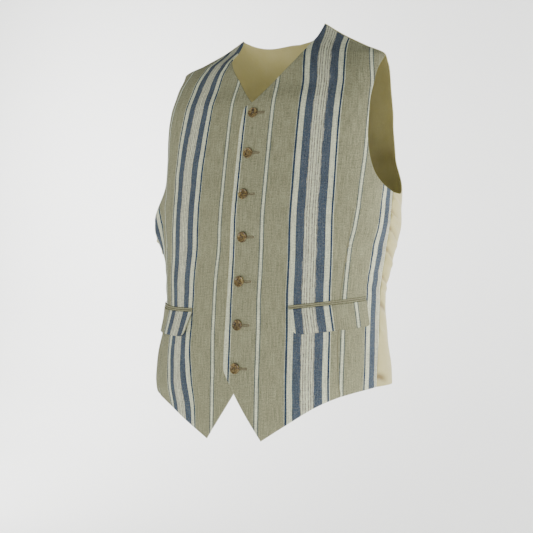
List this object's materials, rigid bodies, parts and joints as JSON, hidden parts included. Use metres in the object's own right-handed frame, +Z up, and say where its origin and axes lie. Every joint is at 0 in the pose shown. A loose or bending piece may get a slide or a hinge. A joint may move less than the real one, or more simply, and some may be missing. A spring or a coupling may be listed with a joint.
{
  "type": "gilet",
  "caption": "Striped linen waistcoat with a satin back, V neck, pointed hem, horn buttons and flap pockets, in its hollow worn shape.",
  "frame": {"origin": "midway between the two shoulder seams, where the wearer's shoulders hold the gilet up", "axes": "+Z up, the front faces -Y, the garment's left front is at +X"},
  "size_m": [0.4138, 0.2737, 0.6334],
  "materials": {
    "striped_linen": "woven linen and cotton, sand ground with blue and off-white warp stripes",
    "jetting": "plain sand linen, cut along the weft",
    "satin": "cream-gold satin, soft sheen",
    "horn": "mottled brown horn, polished"
  },
  "bodies": {
    "root": {"front_left": "striped_linen", "front_right": "striped_linen", "back": "satin", "jet_left": "jetting", "jet_right": "jetting", "flap_left": "striped_linen", "flap_right": "striped_linen", "button_1": "horn", "button_2": "horn", "button_3": "horn", "button_4": "horn", "button_5": "horn", "button_6": "horn", "button_7": "horn"}
  },
  "joints": []
}
